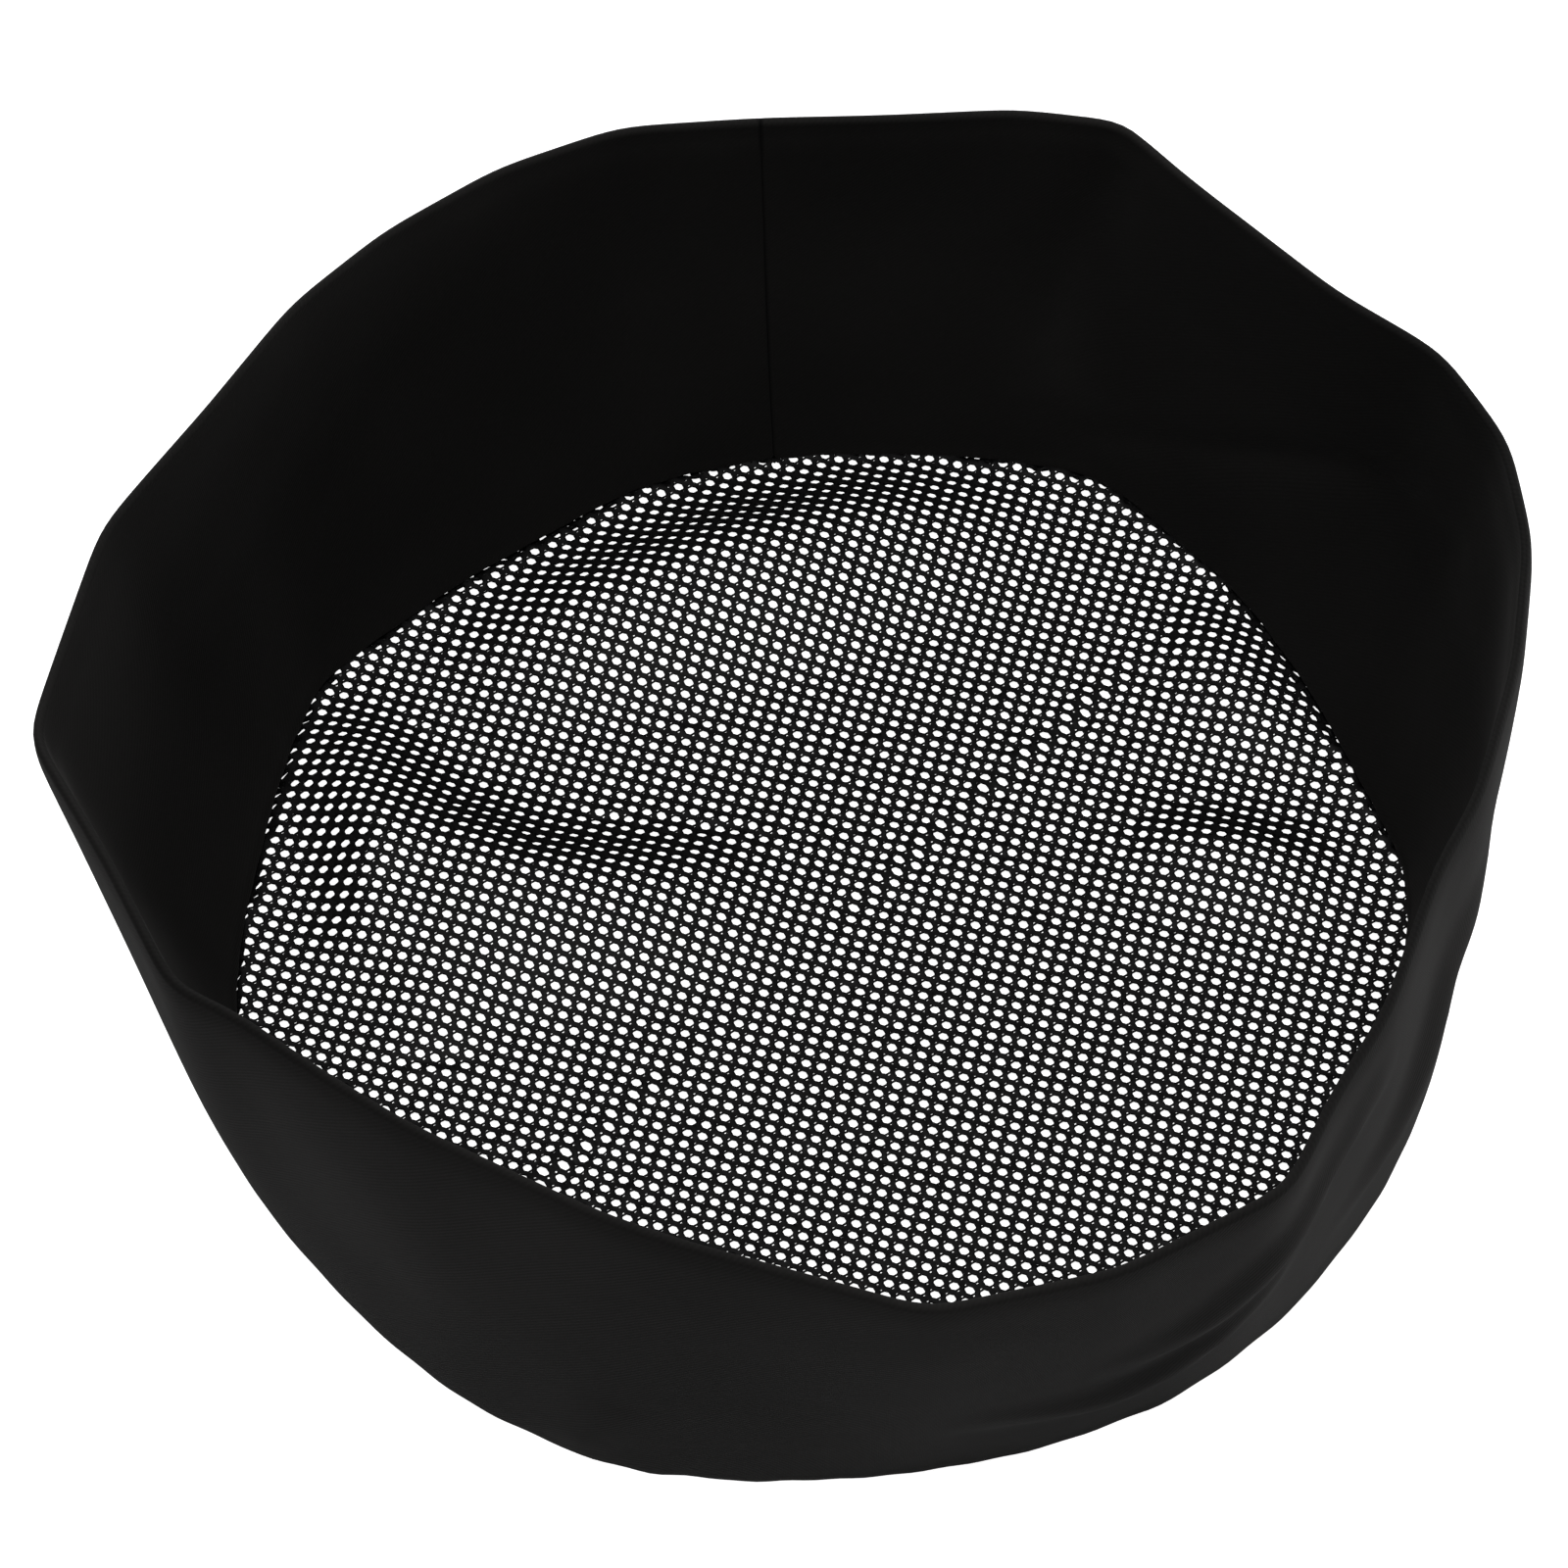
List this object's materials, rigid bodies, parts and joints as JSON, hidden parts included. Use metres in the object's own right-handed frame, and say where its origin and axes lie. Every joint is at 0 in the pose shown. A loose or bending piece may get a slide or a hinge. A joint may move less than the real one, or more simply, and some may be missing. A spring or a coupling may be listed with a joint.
{
  "type": "chef skull cap",
  "caption": "Low brimless chef's cap: a tall folded twill band around a flat knitted mesh crown, standing on its crown with the head opening up.",
  "frame": {"origin": "centre of the underside of the mesh crown, the face the cap rests on", "axes": "+Z from the crown to the rim, so the head opening faces +Z; the back seam is at +Y; +X is to the right when the cap is seen from the front with its opening up"},
  "size_m": [0.1916, 0.1917, 0.0862],
  "materials": {
    "twill": "fine black polyester-cotton twill with a faint sheen",
    "interlining": "matt non-woven",
    "mesh": "black warp-knit polyester mesh, slightly shiny yarn",
    "thread": "black spun polyester thread"
  },
  "bodies": {
    "root": {"band_cloth": "twill", "band_interlining": "interlining", "crown_mesh": "mesh", "crown_needle_thread": "thread", "crown_bobbin_thread": "thread", "back_needle_thread": "thread", "back_bobbin_thread": "thread"}
  },
  "joints": []
}
